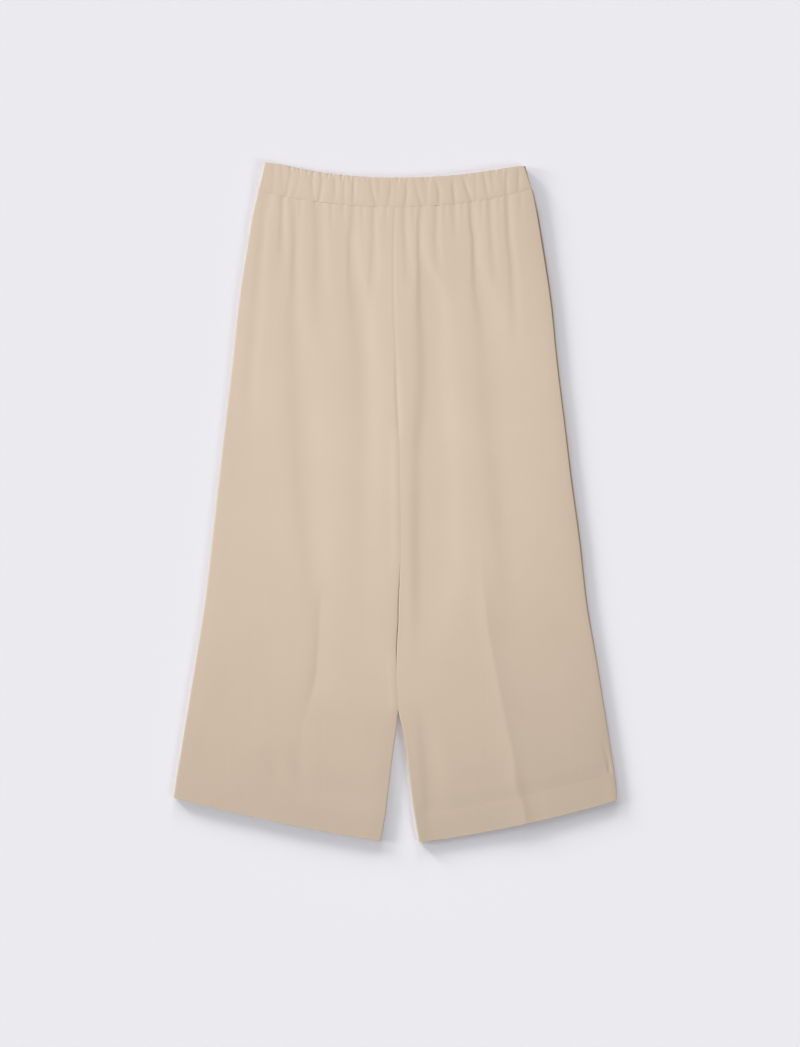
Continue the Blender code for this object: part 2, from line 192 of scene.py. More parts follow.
# The folds that start at drop 40 hang from the band's gathers.
FOLDS = (
    Fold(
        (3.6, 6),
        (3.6, 6),
        ((40, -161, -150, 0.75), (76, -163, -154, 0.75), (90, -164, -154, 0.8), (125, -168, -157, 0.7))
        + ((180, -173, -160, 0.75), (240, -178, -165, 0.85), (330, -184, -170, 0)),
    ),
    Fold(
        (2.3, 4),
        (2.8, 4),
        ((40, -137, -131, 0.95), (76, -138, -132, 0.9), (90, -139, -131, 0.75), (110, -140, -131, 0.45))
        + ((135, -142, -132, 0),),
    ),
    Fold(
        (2.8, 11),
        (5.5, 17),
        ((40, -124, -116, 0.75), (90, -122, -115, 1.05), (125, -123, -115, 1.25), (150, -124, -114, 1.4))
        + ((180, -126, -112, 1.7), (240, -125, -100, 2.2), (300, -123, -92, 2.3), (360, -120, -90, 2.4))
        + ((440, -113, -86, 2.7), (480, -108, -85, 2.3), (520, -102, -84, 1.5), (560, -97, -82, 0.65))
        + ((600, -98, -83, 0),),
    ),
    Fold(
        (3.6, 9),
        (4.6, 10),
        ((40, -98, -84, 0.9), (90, -96, -83, 0.95), (125, -96, -82, 0.9), (150, -97, -80, 0.8))
        + ((180, -97, -78, 0.6), (230, -98, -76, 0.3), (300, -99, -76, 0)),
    ),
    Fold(
        (2.3, 12),
        (4.8, 12),
        ((40, -51, -45, 0.75), (76, -54, -46, 0.75), (90, -56, -46, 0.9), (105, -56, -45, 1.05))
        + ((125, -56, -43, 1.2), (150, -55, -37, 1.3), (180, -52, -30, 1.8), (210, -49, -28, 2.1))
        + ((240, -46, -27, 2.4), (300, -45, -26, 2.2), (360, -45, -26, 1.6), (440, -45, -27, 1.2))
        + ((540, -45, -27, 0.45), (640, -45, -27, 0)),
    ),
    Fold(
        (2.2, 4),
        (3.0, 5),
        ((40, -27, -22, 0.8), (76, -28, -22, 0.8), (90, -28, -21, 0.65), (125, -30, -20, 0.65))
        + ((150, -32, -22, 0.35), (180, -34, -24, 0)),
    ),
    Fold(
        (2.2, 4),
        (3.2, 5),
        ((40, 9, 15, 0.7), (76, 9, 16, 0.8), (90, 10, 16, 0.8), (125, 11, 20, 0.5), (155, 12, 22, 0)),
    ),
    Fold(
        (2.0, 8),
        (4.6, 15),
        ((40, 30, 36, 0.7), (76, 27, 34, 1), (90, 27, 34, 1.2), (105, 27, 35, 1.25))
        + ((125, 28, 41, 1.35), (150, 28, 54, 1.8), (180, 28, 60, 2.2), (240, 31, 62, 2.6))
        + ((290, 31, 64, 2.0), (330, 29, 66, 0.9), (360, 28, 68, 0)),
    ),
    Fold(
        (7, 7),
        (13, 14),
        ((230, 28, 62, 0), (290, 27, 64, 1.0), (330, 25, 68, 2.1), (360, 24.5, 70, 2.5))
        + ((440, 24, 71, 2.8), (500, 24, 68, 2.6), (540, 24, 63, 1.6), (580, 24, 58, 0.5))
        + ((620, 24, 56, 0),),
    ),
    Fold(
        (2.4, 4),
        (2.6, 4),
        ((40, 47, 54, 0.75), (76, 47, 53, 0.75), (90, 46, 53, 0.75), (125, 48, 57, 0.3), (140, 49, 58, 0)),
    ),
    Fold(
        (2.4, 4),
        (2.6, 4),
        ((40, 68, 75, 0.7), (58, 68, 75, 0.65), (76, 69, 75, 0.45), (100, 70, 76, 0)),
    ),
    Fold(
        (2.0, 12),
        (5.6, 25),
        ((40, 88, 95, 1), (76, 90, 98, 1.25), (90, 92, 100, 1.35), (125, 93, 103, 1.45))
        + ((150, 94, 112, 1.6), (180, 98, 124, 2.0), (210, 101, 131, 2.2), (240, 104, 136, 2.4))
        + ((300, 107, 142, 2.6), (360, 113, 146, 2.6), (400, 118, 149, 2.7), (440, 122, 152, 2.45))
        + ((480, 126, 155, 1.7), (530, 128, 158, 0.7), (580, 130, 160, 0)),
    ),
    Fold(
        (2.4, 4),
        (2.6, 4),
        ((40, 111, 117, 0.9), (58, 111, 118, 0.8), (76, 112, 118, 0.7), (125, 115, 124, 0.4))
        + ((155, 118, 128, 0),),
    ),
    Fold(
        (2.2, 5),
        (3.2, 6),
        ((40, 132, 138, 1), (90, 134, 141, 0.95), (125, 137, 146, 0.75), (180, 139, 149, 0.6))
        + ((235, 142, 153, 0),),
    ),
    Fold(
        (5, 5),
        (10, 10),
        ((645, 25, 42, 0), (675, 28, 45, 0.8), (700, 31, 48, 1.2), (735, 34, 52, 1.15), (765, 37, 54, 1.0))
        + ((785, 40, 58, 0),),
    ),
    Fold((6, 6), (6, 6), ((700, -164, -146, 0), (722, -152, -136, 0.75), (750, -140, -126, 0))),
    Fold((5, 5), (5, 5), ((700, -132, -116, 0), (720, -124, -108, 0.6), (745, -112, -98, 0))),
    Fold(
        (4, 4),
        (8, 8),
        ((728, 146, 160, 0), (748, 153, 172, 0.5), (780, 157, 178, 0.6), (804, 160, 178, 0)),
    ),
)


class Crease(NamedTuple):
    """A pressed line: a ridge where it is high, and a sharp valley where its height is negative.

    Each station gives, in millimetres, a drop, X of the line, and the height there.
    """

    reach: tuple  # millimetres over which the cloth leans towards it, on its -X side and on its +X side
    stations: tuple


CREASES = (
    Crease(
        (14, 14),
        ((440, 102, 0), (500, 105, 0.7), (548, 109.7, 1.4), (604, 119.3, 1.6), (672, 133, 1.6))
        + ((719, 142.6, 1.6), (750, 144.8, 1.5), (760, 149, 1.3), (768, 153.5, 1.3), (790, 156.5, 1.4))
        + ((830, 160, 1.2),),
    ),
    Crease(
        (7, 18),
        ((505, -88, 0), (532, -90.3, -0.9), (573, -91.8, -1.2), (597, -93.7, -1.3), (621, -96.5, -1.3))
        + ((645, -103, -0.65), (675, -111, -0.3), (705, -115, -0.25), (735, -117, -0.2), (770, -118, 0)),
    ),
)
CREASE_ROUND = 0.6 * MM  # how blunt the lines are

# Millimetres: X at the band's seam, depth, half width and how far down each reaches.
PUCKERS = (
    (-149, 0.2, 2.6, 26),
    (-133, 0.35, 1.6, 4),
    (-126, 0.3, 2.2, 16),
    (-113, 0.3, 2.4, 20),
    (-95.5, 0.3, 1.6, 4),
    (-88.5, 0.3, 1.6, 4),
    (-76, 0.35, 2.4, 26),
    (-62, 0.35, 2.2, 14),
    (-39, 0.3, 2.2, 20),
    (-19.5, 0.3, 2.0, 12),
    (-10.5, 0.3, 2.0, 18),
    (22, 0.3, 2.2, 16),
    (60, 0.3, 2.2, 22),
    (81, 0.3, 2.2, 16),
    (104, 0.35, 2.2, 24),
    (125, 0.3, 2.2, 16),
    (151, 0.3, 2.6, 24),
)

LEG_LEVEL = 5.0 * MM  # the fronts' outer face above the floor, in the middle of the legs
WAIST_LEVEL = 6.3 * MM  # beside the band
WAIST_REACH = 90 * MM  # over which the waist's height falls away
HEM_LEVELS = {"right": 4.9 * MM, "left": 4.3 * MM}
HEM_RISE = 0.6 * HEM_DEPTH  # over which a front comes to its hem's level, above the turned-up part
HEM_LINE_DEPTH = 0.1 * MM  # where the turned-up part is stitched down
HEM_LINE_WIDTH = 1.2 * MM
EDGE_LEVEL = 4.9 * MM  # beside the rounded edges
EDGE_BLEND = 18 * MM
LEAST_LEVEL = 2.3 * MM  # a front can't sink further, because the back lies under it
LEAST_LEVEL_ROUND = 0.5 * MM
# Above the hem's two layers the single cloth dips: X of the middle, the half width and the depth.
HEM_DIPS = {"right": (-72 * MM, 75 * MM, 0.85 * MM), "left": (95 * MM, 60 * MM, 0.25 * MM)}
DIP_ABOVE_HEM = 52 * MM
DIP_REACH = 17 * MM
NEEDLE_PITCH = 3.1 * MM  # between the needle marks that pucker the band's seam
NEEDLE_MARK = 0.12 * MM
SEAM_GROOVE = 0.04 * MM
SEAM_GROOVE_REACH = 1.1 * MM
TUCK_SLOPE = 1.3  # how steeply the fronts dive under the band
# Heights of the slow waves across the cloth, down it, and aslant.
SWELL_ACROSS = 0.10 * MM
SWELL_DOWN = 0.10 * MM
SWELL_ASLANT = 0.16 * MM


def fold_depth(folds, x, drop):
    """How deep all the folds together cut into the cloth here."""
    depth = np.zeros_like(x)
    relaxed = smooth((drop - RELAX_FROM) / RELAX_OVER)
    for fold in folds:
        fall_x, rise_x, full = (curve(fold.stations, column, drop) for column in (1, 2, 3))
        fall = step(x - fall_x, mix(*fold.falling_wall, relaxed) * MM)
        rise = step(x - rise_x, mix(*fold.rising_wall, relaxed) * MM)
        depth += np.maximum(full, 0) * (fall - rise)
    return depth


def crease_height(x, drop):
    """How far the pressed lines lift or sink the fronts here."""
    height = np.zeros_like(x)
    for crease in CREASES:
        line, full = (curve(crease.stations, column, drop) for column in (1, 2))
        before, after = crease.reach
        reach = np.where(x < line, before, after) * MM
        height += full * np.exp(-(np.hypot(x - line, CREASE_ROUND) - CREASE_ROUND) / reach)
    return height


def seam_ditch(x, below_band):
    """How deep the band's seam pulls the cloth in, with a pucker at each needle mark and gather."""
    needle = 0.5 + 0.5 * np.cos(2 * np.pi * x / NEEDLE_PITCH + 1.7 * np.sin(x / (19 * MM)))
    below = np.maximum(below_band, 0)
    ditch = (SEAM_GROOVE + NEEDLE_MARK * needle) * np.exp(-below / SEAM_GROOVE_REACH)
    ditch += TUCK_SLOPE * np.maximum(-below_band, 0)
    for seam_x, depth, width, reach in PUCKERS:
        trough = np.exp(-(((x - seam_x * MM) / (width * MM)) ** 2))
        ditch += depth * MM * trough * np.exp(-((below / (reach * MM)) ** 2))
    return ditch


def swell(x, drop):
    """The slow, shallow rise and fall of cloth that isn't quite flat."""
    across = np.sin(x / (21 * MM) + 1.3 * np.sin(drop / (130 * MM)) + 0.7)
    down = np.sin(drop / (58 * MM) + 1.1 * np.sin(x / (37 * MM)) + 2.1)
    aslant = np.sin(x / (48 * MM) - drop / (95 * MM))
    return SWELL_ACROSS * across + SWELL_DOWN * down + SWELL_ASLANT * aslant


def front_height(leg, x, drop, across):
    """Height of a front's outer face above the floor, away from its rounded edges."""
    below_band = drop - band_seam_drop(x)
    above_hem = hem_drop(leg, across) - drop
    height = LEG_LEVEL + (WAIST_LEVEL - LEG_LEVEL) * np.exp(-np.maximum(below_band, 0) / WAIST_REACH)
    height += (HEM_LEVELS[leg] - LEG_LEVEL) * smooth((HEM_DEPTH + HEM_RISE - above_hem) / HEM_RISE)
    dip_x, dip_width, dip_depth = HEM_DIPS[leg]
    dip = dip_depth * np.exp(-(((x - dip_x) / dip_width) ** 2))
    height -= dip * np.exp(-(((above_hem - DIP_ABOVE_HEM) / DIP_REACH) ** 2))
    height += crease_height(x, drop) + swell(x, drop) - fold_depth(FOLDS, x, drop)
    clear = height - LEAST_LEVEL
    height = LEAST_LEVEL + 0.5 * (clear + np.hypot(clear, LEAST_LEVEL_ROUND))
    hem_line = HEM_LINE_DEPTH * np.exp(-(((above_hem - HEM_DEPTH) / HEM_LINE_WIDTH) ** 2))
    return height - seam_ditch(x, below_band) - hem_line


class Roll(NamedTuple):
    """The rounding along a panel's side edge, from the edge to the flat of the cloth.

    Each station gives, in millimetres, a drop, how far the edge lies inside the side seam's line, and the
    edge's height.
    """

    width: float
    fall: float  # how far the cloth sinks on its way to the rounding
    stations: tuple


# The left side seam is rolled to the front: the front drops steeply beside it into a narrow, deep groove,
# and the back's edge stands up beyond. The groove closes towards the hem.
FRONT_ROLLS = {
    "right": Roll(0.3 * MM, 0.2 * MM, ((0, 0, 1.6), (800, 0, 1.6))),
    "left": Roll(
        0.25 * MM,
        1.1 * MM,
        ((34, 0.8, 1.6), (50, 1.2, 0.9), (70, 1.5, 0.7), (110, 1.6, 0.6), (360, 1.6, 0.6), (450, 1.3, 0.9))
        + ((560, 1.0, 1.8), (680, 0.4, 2.4), (770, 0.1, 2.6)),
    ),
}
FALL_REACH = 7.5 * MM
INNER_ROLL = 0.18 * MM  # width of the rounding along the inner edges
FRONT_INNER_EDGE = 2.3 * MM  # height of the fronts' edges there
# Millimetres: drop, and the height beside the right leg's inner edge and beside the left leg's.
INNER_LEVELS = ((480, 4.8, 4.8), (640, 4.8, 4.8), (700, 4.4, 5.2), (830, 4.3, 5.3))
# The same for the last of the fall towards each edge, which is negative where the edge stands up.
INNER_FALLS = ((480, 0.55, -0.25), (640, 0.55, -0.25), (690, 0.15, -0.25), (830, 0.15, -0.25))
INNER_FALL_REACH = 2.6 * MM
ROLL_COLUMNS = 8  # round each side edge
PANEL_COLUMNS = 150
HEM_ROWS = 6  # round the fold along the hem
HEM_TURN = 150  # degrees that the cloth turns there
PANEL_ROWS = 290 + HEM_ROWS
# How the rows are spread down a panel: the share of the rows, and how far down they have come.
ROW_SPREAD = ((0, 0), (0.05, 0.008), (0.16, 0.06), (0.9, 0.94), (0.94, 0.962), (1, 1))
HEM_CORNER = 5 * MM  # the fold along the hem narrows this near to the panel's edges
LEAST_HEM_ROLL = 0.12  # share of the fold that is left at the very edge


def panel_places(leg, roll, across_grid, down_grid, columns, rows):
    """X and drop of a panel's points, its distances from both edges, and how far each row has turned over.

    across_grid runs from the side seam (0) to the inner edge (1) and down_grid from the band to the hem.
    """
    column, row = across_grid * columns, down_grid * rows
    shares, reached = np.array(ROW_SPREAD).T
    along = np.interp(row / (rows - HEM_ROWS), shares, reached)
    hem_angle = np.radians(HEM_TURN) * np.clip((row - rows + HEM_ROWS) / HEM_ROWS, 0, 1)
    side_drop = mix(BAND_SEAM_DROP - TUCK, HEMS[leg].side, along)
    inner_drop = mix(band_seam_drop(0) - TUCK, HEMS[leg].inner, along)
    side_x = curve(SIDE_SEAMS, LEGS[leg], side_drop)
    side_x -= np.sign(side_x) * curve(roll.stations, 1, side_drop)
    inner_x = curve(INNER_EDGES, LEGS[leg], inner_drop)
    turn_drops, turns = np.array(EDGE_TURNS).T
    turn = smooth(np.interp(inner_drop / MM, turn_drops, turns))
    full = np.abs(inner_x - side_x)
    side_angle = np.pi / 2 * np.clip(column / ROLL_COLUMNS, 0, 1)
    inner_angle = np.pi / 2 * np.clip((columns - column) / ROLL_COLUMNS, 0, 1)
    from_side = roll.width * (1 - np.cos(side_angle))
    round_inner = INNER_ROLL * (1 - np.cos(inner_angle))
    flat_inner = INNER_ROLL * np.clip((columns - column) / ROLL_COLUMNS, 0, 1)
    from_inner = mix(flat_inner, round_inner, turn)
    middle = np.clip((column - ROLL_COLUMNS) / (columns - 2 * ROLL_COLUMNS), 0, 1)
    flat = mix(roll.width, full - INNER_ROLL, middle)
    distance = np.where(column <= ROLL_COLUMNS, from_side, flat)
    distance = np.where(column >= columns - ROLL_COLUMNS, full - from_inner, distance)
    across = distance / full
    x = mix(side_x, inner_x, across)
    top_drop = band_seam_drop(BAND_SEAM_HALF * (1 - across)) - TUCK
    corner = np.minimum(distance, full - distance) / HEM_CORNER
    hem_radius = HEM_ROLL * np.clip(corner, LEAST_HEM_ROLL, 1)
    drop = mix(top_drop, hem_drop(leg, across) - hem_radius, along) + hem_radius * np.sin(hem_angle)
    return {
        "x": x,
        "drop": drop,
        "across": across,
        "from_side": distance,
        "from_inner": full - distance,
        "side_height": curve(roll.stations, 2, side_drop),
        "side_angle": side_angle,
        "inner_angle": inner_angle,
        "inner_drop": inner_drop,
        "turn": turn,
        "hem_sink": hem_radius * (1 - np.cos(hem_angle)),
        "hem_share": np.where(hem_angle > 0, hem_radius / HEM_ROLL, 1.0),
    }


# A pinched crease close to the left side seam. Millimetres: drop, X and depth.
SIDE_PINCH = ((688, 249.5, 0), (702, 251.3, 0.4), (716, 254.2, 0.8), (728, 257.0, 1.2), (733, 257.6, 0))
PINCH_WIDTH = 1.3 * MM


def side_pinch_depth(x, drop):
    line, depth = (curve(SIDE_PINCH, column, drop) for column in (1, 2))
    return np.maximum(depth, 0) * np.exp(-(((x - line) / PINCH_WIDTH) ** 2))


# How far the centre seam's groove and its pinch reach into each leg. They differ because the allowances
# are pressed to one side.
SEAM_REACH = {"right": (1.2 * MM, 2.2 * MM), "left": (2.6 * MM, 5.0 * MM)}
GROOVE_DEPTH = 0.28 * MM
GROOVE_DEPTH_BELOW = 0.08 * MM  # below the crotch, where the legs only touch
CROTCH_FROM = 318 * MM
CROTCH_OVER = 20 * MM
CENTRE_PINCH = 0.45 * MM
PINCH_FROM = 215 * MM  # drop where the pinch above the crotch begins
PINCH_OVER = 60 * MM
PINCH_END = 334 * MM
PINCH_END_OVER = 22 * MM
# The allowances lift the right leg into a low ridge below the crotch.
RIDGE_HEIGHT = 0.35 * MM
RIDGE_FROM_SEAM = 5 * MM
RIDGE_WIDTH = 4.5 * MM


def centre_seam_depth(leg, from_inner, inner_drop):
    """How deep the centre seam is pulled in: a narrow groove, and a pinch above the crotch."""
    groove_reach, pinch_reach = SEAM_REACH[leg]
    pinch = CENTRE_PINCH * smooth((inner_drop - PINCH_FROM) / PINCH_OVER)
    pinch *= smooth((PINCH_END - inner_drop) / PINCH_END_OVER)
    below_crotch = smooth((inner_drop - CROTCH_FROM) / CROTCH_OVER)
    groove = mix(GROOVE_DEPTH, GROOVE_DEPTH_BELOW, below_crotch)
    groove *= np.exp(-((from_inner / groove_reach) ** 2))
    if leg == "right":
        ridge = np.exp(-(((from_inner - RIDGE_FROM_SEAM) / RIDGE_WIDTH) ** 2))
        groove -= RIDGE_HEIGHT * below_crotch * ridge
    return groove + pinch * np.exp(-((from_inner / pinch_reach) ** 2))


def front_shape(leg, across_grid, down_grid, columns, rows):
    """X, drop, height and share of the cloth's thickness for all the points of a front."""
    roll = FRONT_ROLLS[leg]
    p = panel_places(leg, roll, across_grid, down_grid, columns, rows)
    level = front_height(leg, p["x"], p["drop"], p["across"])
    level -= centre_seam_depth(leg, p["from_inner"], p["inner_drop"]) * (1 - p["turn"])
    below_band = np.maximum(p["drop"] - BAND_SEAM_DROP, 0)
    edge = EDGE_LEVEL + (WAIST_LEVEL - EDGE_LEVEL) * np.exp(-below_band / WAIST_REACH)
    beside_side = np.maximum(p["from_side"] - roll.width, 0)
    beside_inner = np.maximum(p["from_inner"] - INNER_ROLL, 0)
    inner_edge = curve(INNER_LEVELS, LEGS[leg], p["inner_drop"])
    inner_fall = curve(INNER_FALLS, LEGS[leg], p["inner_drop"])
    height = mix(edge, level, smooth(beside_side / EDGE_BLEND))
    height = mix(height, inner_edge, (1 - smooth(beside_inner / EDGE_BLEND)) * p["turn"])
    height -= roll.fall * np.exp(-beside_side / FALL_REACH) + side_pinch_depth(p["x"], p["drop"])
    height -= inner_fall * np.exp(-beside_inner / INNER_FALL_REACH) * p["turn"]
    inner_round = mix(1.0, np.sin(p["inner_angle"]), p["turn"])
    height = mix(p["side_height"], height, np.sin(p["side_angle"]))
    height = mix(FRONT_INNER_EDGE, height, inner_round)
    return p["x"], p["drop"], height - p["hem_sink"], p["hem_share"]


def lay_cloth(name, columns, rows, east_is_seam, faces_down, shape):
    """A sheet of cloth from a flat grid, with its places' X and Y as its UV map, in metres.

    shape gives X, drop, height and thickness share of points at (across, down) in the sheet.
    """
    grid = bmesh.new()
    bmesh.ops.create_grid(grid, x_segments=columns, y_segments=rows, size=0.5)
    if faces_down:
        bmesh.ops.reverse_faces(grid, faces=grid.faces)
    for face in grid.faces:
        face.smooth = True
    mesh = bpy.data.meshes.new(name)
    grid.to_mesh(mesh)
    grid.free()
    flat = np.empty(len(mesh.vertices) * 3)
    mesh.vertices.foreach_get("co", flat)
    east, down = flat[0::3] + 0.5, 0.5 - flat[1::3]
    x, drop, height, share = shape(1 - east if east_is_seam else east, down, columns, rows)
    mesh.vertices.foreach_set("co", np.column_stack((x, WAIST_Y - drop, height)).ravel())
    corners = np.empty(len(mesh.loops), dtype=np.int32)
    mesh.loops.foreach_get("vertex_index", corners)
    uv = mesh.uv_layers.new(name="cloth")
    uv.uv.foreach_set("vector", np.column_stack((x, WAIST_Y - drop))[corners].ravel())
    mesh.update()
    piece = bpy.data.objects.new(name, mesh)
    bpy.context.scene.collection.objects.link(piece)
    thickness = piece.vertex_groups.new(name="thickness")
    thickness.add(range(len(mesh.vertices)), 1.0, "REPLACE")
    for index in np.flatnonzero(share < 1):
        thickness.add([int(index)], float(share[index]), "REPLACE")
    wall = piece.modifiers.new("cloth", "SOLIDIFY")
    wall.thickness = CLOTH
    wall.offset = -1
    wall.vertex_group = thickness.name
    return piece


class Value:
    """A number inside a material, which can be used in sums."""

    def __init__(self, finish, socket):
        self.finish, self.socket = finish, socket

    def sum(self, operation, first, second=0.0):
        return self.finish.node("ShaderNodeMath", {"operation": operation}, {0: first, 1: second})

    def __add__(self, other):
        return self.sum("ADD", self, other)

    def __sub__(self, other):
        return self.sum("SUBTRACT", self, other)

    def __rsub__(self, other):
        return self.sum("SUBTRACT", other, self)

    def __mul__(self, other):
        return self.sum("MULTIPLY", self, other)

    __radd__ = __add__
    __rmul__ = __mul__

    def sine(self):
        return self.sum("SINE", self)


class Finish:
    """A material and its nodes. Constants are set on the shader's own sockets."""

    def __init__(self, name, constants):
        self.material = bpy.data.materials.new(name)
        self.material.use_nodes = True
        self.tree = self.material.node_tree
        self.shader = self.tree.nodes["Principled BSDF"]
        for socket, value in constants.items():
            self.shader.inputs[socket].default_value = value

    def node(self, kind, settings, sockets, output=0):
        made = self.tree.nodes.new(kind)
        for setting, value in settings.items():
            setattr(made, setting, value)
        for socket, value in sockets.items():
            self.feed(made.inputs[socket], value)
        return Value(self, made.outputs[output])

    def feed(self, socket, value):
        if isinstance(value, Value):
            self.tree.links.new(value.socket, socket)
        else:
            socket.default_value = value


def noise(finish, place, stretch, detail=2.0):
    """Soft noise from 0 to 1 over the cloth, with stretch cells to a metre across and down it."""
    scaled = finish.node(
        "ShaderNodeVectorMath", {"operation": "MULTIPLY"}, {0: place, 1: (*stretch, 1.0)}
    )
    return finish.node(
        "ShaderNodeTexNoise",
        {"noise_dimensions": "2D"},
        {"Vector": scaled, "Scale": 1.0, "Detail": detail, "Roughness": 0.55},
    )


CREPE_DARK = (0.585, 0.472, 0.368, 1)
CREPE_LIGHT = (0.735, 0.593, 0.466, 1)
YARN_PITCH = 0.42 * MM
YARN_WANDER = 0.5 * MM
# Cells of noise to a metre, across the cloth and down it.
PEBBLE_CELLS = (1500, 1100)
WANDER_CELLS = (420, 300)
MOTTLE_CELLS = (11, 9)
STREAK_CELLS = (260, 5)
# How far each pattern carries the colour from the dark towards the light.
MOTTLE, STREAK, PEBBLE, WEAVE = 0.30, 0.08, 0.5, 0.04
PEBBLE_HEIGHT = 0.12 * MM


def crepe_finish(name, dark, light):
    """Matt crepe: a fine plain weave of hard-twisted yarn, with a pebbled surface and a faint nap."""
    crepe = Finish(
        name,
        {
            "Metallic": 0.0,
            "Specular IOR Level": 0.22,
            "Sheen Weight": 0.12,
            "Sheen Roughness": 0.6,
            "Sheen Tint": (1.0, 0.93, 0.86, 1),
        },
    )
    place = crepe.node("ShaderNodeUVMap", {"uv_map": "cloth"}, {})
    u = crepe.node("ShaderNodeSeparateXYZ", {}, {0: place}, 0)
    v = crepe.node("ShaderNodeSeparateXYZ", {}, {0: place}, 1)
    pebble = noise(crepe, place, PEBBLE_CELLS, 3.0)
    wander = noise(crepe, place, WANDER_CELLS) * YARN_WANDER
    warp = ((u + wander) * (2 * math.pi / YARN_PITCH)).sine()
    weft = ((v + wander) * (2 * math.pi / YARN_PITCH)).sine()
    weave = warp * weft
    mottle = noise(crepe, place, MOTTLE_CELLS, 3.0)
    streak = noise(crepe, place, STREAK_CELLS)
    tone = 0.5 + (mottle - 0.5) * MOTTLE + (streak - 0.5) * STREAK + (pebble - 0.5) * PEBBLE + weave * WEAVE
    colour = crepe.node(
        "ShaderNodeMix", {"data_type": "RGBA"}, {"Factor": tone, 6: dark, 7: light}, output=2
    )
    bump = crepe.node(
        "ShaderNodeBump",
        {},
        {"Height": pebble + weave * 0.25, "Strength": 0.3, "Distance": PEBBLE_HEIGHT},
    )
    crepe.feed(crepe.shader.inputs["Base Color"], colour)
    crepe.feed(crepe.shader.inputs["Roughness"], 0.78 + pebble * 0.1)
    crepe.feed(crepe.shader.inputs["Normal"], bump)
    return crepe.material


crepe = crepe_finish("crepe", CREPE_DARK, CREPE_LIGHT)


def sew_panel(side, leg, shape, faces_down):
    """A leg panel in its place, standing for its solid."""
    piece = lay_cloth(
        f"{leg}_{side}_panel",
        PANEL_COLUMNS if side == "front" else PANEL_COLUMNS // 2,
        PANEL_ROWS if side == "front" else PANEL_ROWS // 2,
        leg == "left",
        faces_down,
        partial(shape, leg),
    )
    piece.data.materials.append(crepe)
    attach(piece, "root")
    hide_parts(f"{side}_{leg}")
    return piece


fronts = {leg: sew_panel("front", leg, front_shape, False) for leg in LEGS}


# ------------------------------------------------------------------------------------- leg backs
# The two back panels, of the same crepe, which lie flat under the fronts. Their edges turn up to meet
# the fronts' at the seams, and a shallow centre back seam and a few soft folds run down them.

BACK_FOLDS = (
    Fold((5, 5), (6, 6), ((40, -132, -122, 0.7), (200, -136, -122, 0.5), (420, -150, -130, 0))),
    Fold((4, 4), (6, 6), ((40, -88, -80, 0.7), (150, -92, -78, 0.6), (330, -100, -84, 0))),
    Fold((4, 4), (5, 5), ((40, -49, -42, 0.7), (120, -50, -40, 0.5), (260, -54, -40, 0))),
    Fold((4, 4), (5, 5), ((40, 38, 45, 0.7), (180, 38, 52, 0.5), (380, 42, 58, 0))),
    Fold((4, 4), (6, 6), ((40, 81, 88, 0.7), (130, 84, 96, 0.5), (300, 90, 106, 0))),
    Fold((5, 5), (6, 6), ((40, 127, 136, 0.7), (240, 134, 150, 0.4), (470, 150, 170, 0))),
    Fold((8, 8), (9, 9), ((480, -160, -132, 0), (620, -172, -140, 0.5), (790, -186, -150, 0.3))),
    Fold((8, 8), (9, 9), ((500, 122, 150, 0), (640, 134, 164, 0.5), (790, 150, 184, 0.3))),
)

BACK_ROLLS = {
    "right": Roll(2.2 * MM, 0.0, ((0, 0, 1.3), (800, 0, 1.3))),
    "left": Roll(
        0.35 * MM,
        0.0,
        ((0, 0, 1.4), (34, 0, 1.6), (60, 0, 2.9), (440, 0, 2.9), (600, 0, 2.4), (740, 0, 2.2))
        + ((800, 0, 2.2),),
    ),
}
BACK_INNER_EDGE = 2.0 * MM  # height of the backs' edges along the inside legs
BACK_SEAM_SHARE = 0.6  # the centre back seam's depth beside the front one's
BACK_LIFT = 0.6 * MM  # how far the band's seam draws the backs up off the floor
BACK_LIFT_REACH = 1.7 * MM


def back_shape(leg, across_grid, down_grid, columns, rows):
    """X, drop, height and share of the cloth's thickness for all the points of a back."""
    p = panel_places(leg, BACK_ROLLS[leg], across_grid, down_grid, columns, rows)
    height = fold_depth(BACK_FOLDS, p["x"], p["drop"])
    centre_seam = centre_seam_depth(leg, p["from_inner"], p["inner_drop"])
    height += BACK_SEAM_SHARE * centre_seam * (1 - p["turn"])
    below_band = p["drop"] - band_seam_drop(p["x"])
    height += BACK_LIFT * np.exp(-np.maximum(below_band, 0) / BACK_LIFT_REACH)
    height += np.maximum(-below_band, 0)
    edges = smooth(p["from_side"] / EDGE_BLEND) * mix(1.0, smooth(p["from_inner"] / EDGE_BLEND), p["turn"])
    height = height * edges
    inner_round = mix(1.0, np.sin(p["inner_angle"]), p["turn"])
    height = mix(p["side_height"], height, np.sin(p["side_angle"]))
    height = mix(BACK_INNER_EDGE, height, inner_round)
    return p["x"], p["drop"], height + p["hem_sink"], p["hem_share"]


backs = {leg: sew_panel("back", leg, back_shape, True) for leg in LEGS}


# ------------------------------------------------------------------------------------- waistband
# A straight strip of the same crepe, folded over a wide elastic and sewn to the legs. The elastic draws
# it in, so its faces are gathered into short, sharp, slanting creases that meet in Vs at the seam.

BAND_MIDDLE = 3.7 * MM  # height of the side joins between the front and the back
BAND_SLACK = 0.15 * MM  # half the least space between the band's front and its back
BAND_TOP_HALF = 156 * MM
BAND_SEAM_ROUND = 0.3 * MM
BAND_FOLD_ROUND = 1.55 * MM  # half the band's thickness, at the fold along its top edge
BAND_FOLD_REACH = 0.8 * MM  # how far that fold runs out past the face
BAND_COLUMNS = 460
BAND_ROWS = 44

